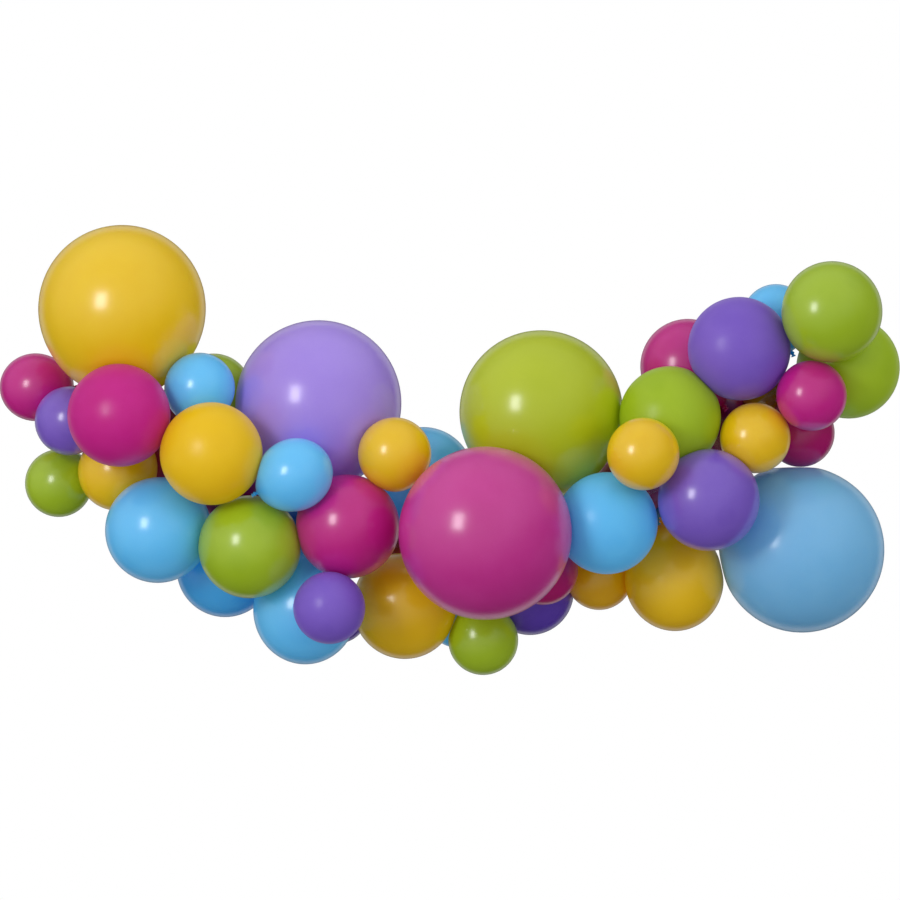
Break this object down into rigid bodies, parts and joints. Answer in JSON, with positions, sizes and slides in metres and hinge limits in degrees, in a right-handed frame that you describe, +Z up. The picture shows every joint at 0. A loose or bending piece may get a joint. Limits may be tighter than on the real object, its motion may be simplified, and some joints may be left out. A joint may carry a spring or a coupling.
{
  "type": "balloon garland",
  "caption": "Organic balloon garland in five bright colours, gathered on a clear strip that hangs by its two end tabs.",
  "frame": {"origin": "on the back face of the left end tab of the strip, 24 mm below its eyelet", "axes": "+X along the wall from the left tab to the right one, +Z up, and +Y into the wall that the garland hangs against; the balloons lie at negative Y"},
  "size_m": [2.2465, 0.7141, 1.1214],
  "materials": {
    "yellow_latex": "glossy stretched latex, slightly see-through at the rim",
    "magenta_latex": "glossy stretched latex, slightly see-through at the rim",
    "purple_latex": "glossy stretched latex, slightly see-through at the rim",
    "blue_latex": "glossy stretched latex, slightly see-through at the rim",
    "green_latex": "glossy stretched latex, slightly see-through at the rim",
    "clear_plastic": "clear flexible plastic strip, smooth"
  },
  "bodies": {
    "root": {"pink_small_at_left_end": "magenta_latex", "green_small_at_left_end": "green_latex", "magenta_mini_inside_left": "magenta_latex", "magenta_small_inside_left": "magenta_latex", "magenta_small_inside_lower_left": "magenta_latex", "blue_small_inside_middle": "blue_latex", "magenta_mini_inside_middle": "magenta_latex", "blue_mini_inside_right": "blue_latex", "yellow_small_at_left_end": "yellow_latex", "green_small_behind_left": "green_latex", "blue_medium_behind_left": "blue_latex", "purple_mini_behind_bottom": "purple_latex", "blue_mini_behind_bottom": "blue_latex", "blue_medium_at_bottom": "blue_latex", "yellow_medium_at_bottom": "yellow_latex", "blue_medium_behind_middle": "blue_latex", "purple_giant": "purple_latex", "green_giant": "green_latex", "purple_medium_behind_bottom": "purple_latex", "yellow_small_behind_bottom": "yellow_latex", "magenta_small_behind_bottom": "magenta_latex", "magenta_small_inside_middle": "magenta_latex", "magenta_small_inside_right": "magenta_latex", "pink_medium_behind_right": "magenta_latex", "yellow_small_inside_right": "yellow_latex", "magenta_small_behind_right": "magenta_latex", "blue_small_behind_right": "blue_latex", "blue_giant": "blue_latex", "yellow_medium_at_right_bottom": "yellow_latex", "yellow_giant": "yellow_latex", "purple_small_at_left_end": "purple_latex", "green_medium_at_right_end": "green_latex", "blue_medium_at_left": "blue_latex", "blue_small_at_left": "blue_latex", "magenta_medium_at_left": "magenta_latex", "magenta_medium_in_middle": "magenta_latex", "green_medium_at_left": "green_latex", "yellow_medium_at_left": "yellow_latex", "blue_long_small_in_middle": "blue_latex", "yellow_small_in_middle": "yellow_latex", "green_small_at_bottom": "green_latex", "blue_medium_in_middle": "blue_latex", "magenta_giant": "magenta_latex", "purple_small_at_bottom": "purple_latex", "green_medium_at_right": "green_latex", "yellow_small_at_right": "yellow_latex", "purple_medium_at_right": "purple_latex", "purple_medium_at_right_bottom": "purple_latex", "yellow_small_at_middle_right": "yellow_latex", "green_medium_at_right_top": "green_latex", "magenta_small_at_right_end": "magenta_latex", "clear_strip": "clear_plastic"}
  },
  "joints": []
}
